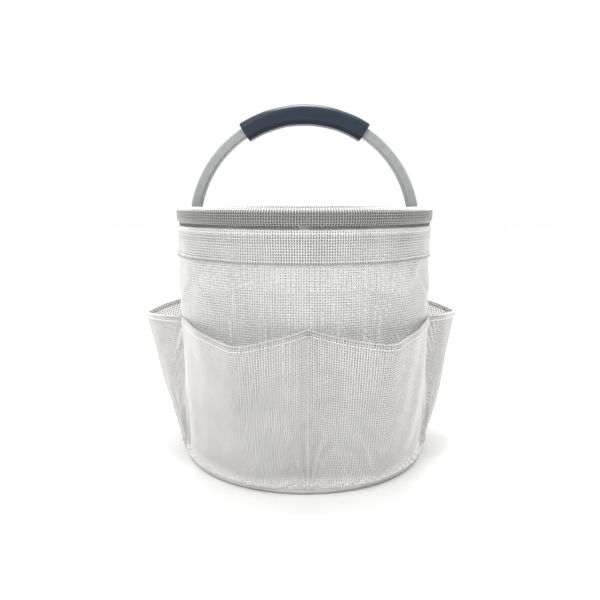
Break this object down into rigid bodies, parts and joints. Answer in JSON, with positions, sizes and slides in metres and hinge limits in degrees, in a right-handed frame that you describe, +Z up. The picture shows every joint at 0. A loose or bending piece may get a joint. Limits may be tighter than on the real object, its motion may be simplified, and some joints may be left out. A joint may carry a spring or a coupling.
{
  "type": "shower caddy",
  "caption": "Round mesh shower caddy with outside pockets, a stiff rim hoop and a hinged carrying bail with a foam grip.",
  "frame": {"origin": "middle of the base, on the plane that the caddy stands on", "axes": "+Z up along the basket's axis, +X to the right along the bail's pivot axis, -Y to the front, where a pocket seam is"},
  "size_m": [0.3404, 0.3067, 0.3438],
  "materials": {
    "mesh": "white coated polyester mesh",
    "binding": "grey woven binding tape",
    "rim_aluminium": "satin dark anodised tube",
    "bail_aluminium": "satin light grey coating on aluminium tube",
    "rivet_steel": "satin",
    "nylon": "natural nylon",
    "end_cap": "moulded grey plastic",
    "foam": "closed-cell foam, slate blue-grey"
  },
  "bodies": {
    "basket": {"rim_tube": "rim_aluminium", "rim_joiner": "rim_aluminium", "rim_joiner_rivets": "rivet_steel", "rim_sleeve": "mesh", "wall_panel": "mesh", "top_hem_band": "mesh", "base_panel": "mesh", "wall_seam_tape": "binding", "base_binding": "binding", "left_pivot_rivet": "rivet_steel", "left_pivot_spacer": "nylon", "right_pivot_rivet": "rivet_steel", "right_pivot_spacer": "nylon", "front_right_pocket": "mesh", "front_right_pocket_hem": "mesh", "right_pocket": "mesh", "right_pocket_hem": "mesh", "back_pocket": "mesh", "back_pocket_hem": "mesh", "left_pocket": "mesh", "left_pocket_hem": "mesh", "front_left_pocket": "mesh", "front_left_pocket_hem": "mesh"},
    "bail": {"bail_tube": "bail_aluminium", "foam_grip": "foam", "left_pivot_bush": "nylon", "right_pivot_bush": "nylon", "left_bail_end_cap": "end_cap", "right_bail_end_cap": "end_cap"}
  },
  "joints": [
    {"name": "bail_swing", "type": "hinge", "parent": "basket", "child": "bail", "pos_m": [0, 0, 0.2393], "axis": [1, 0, 0], "range_deg": [-90, 90]}
  ]
}
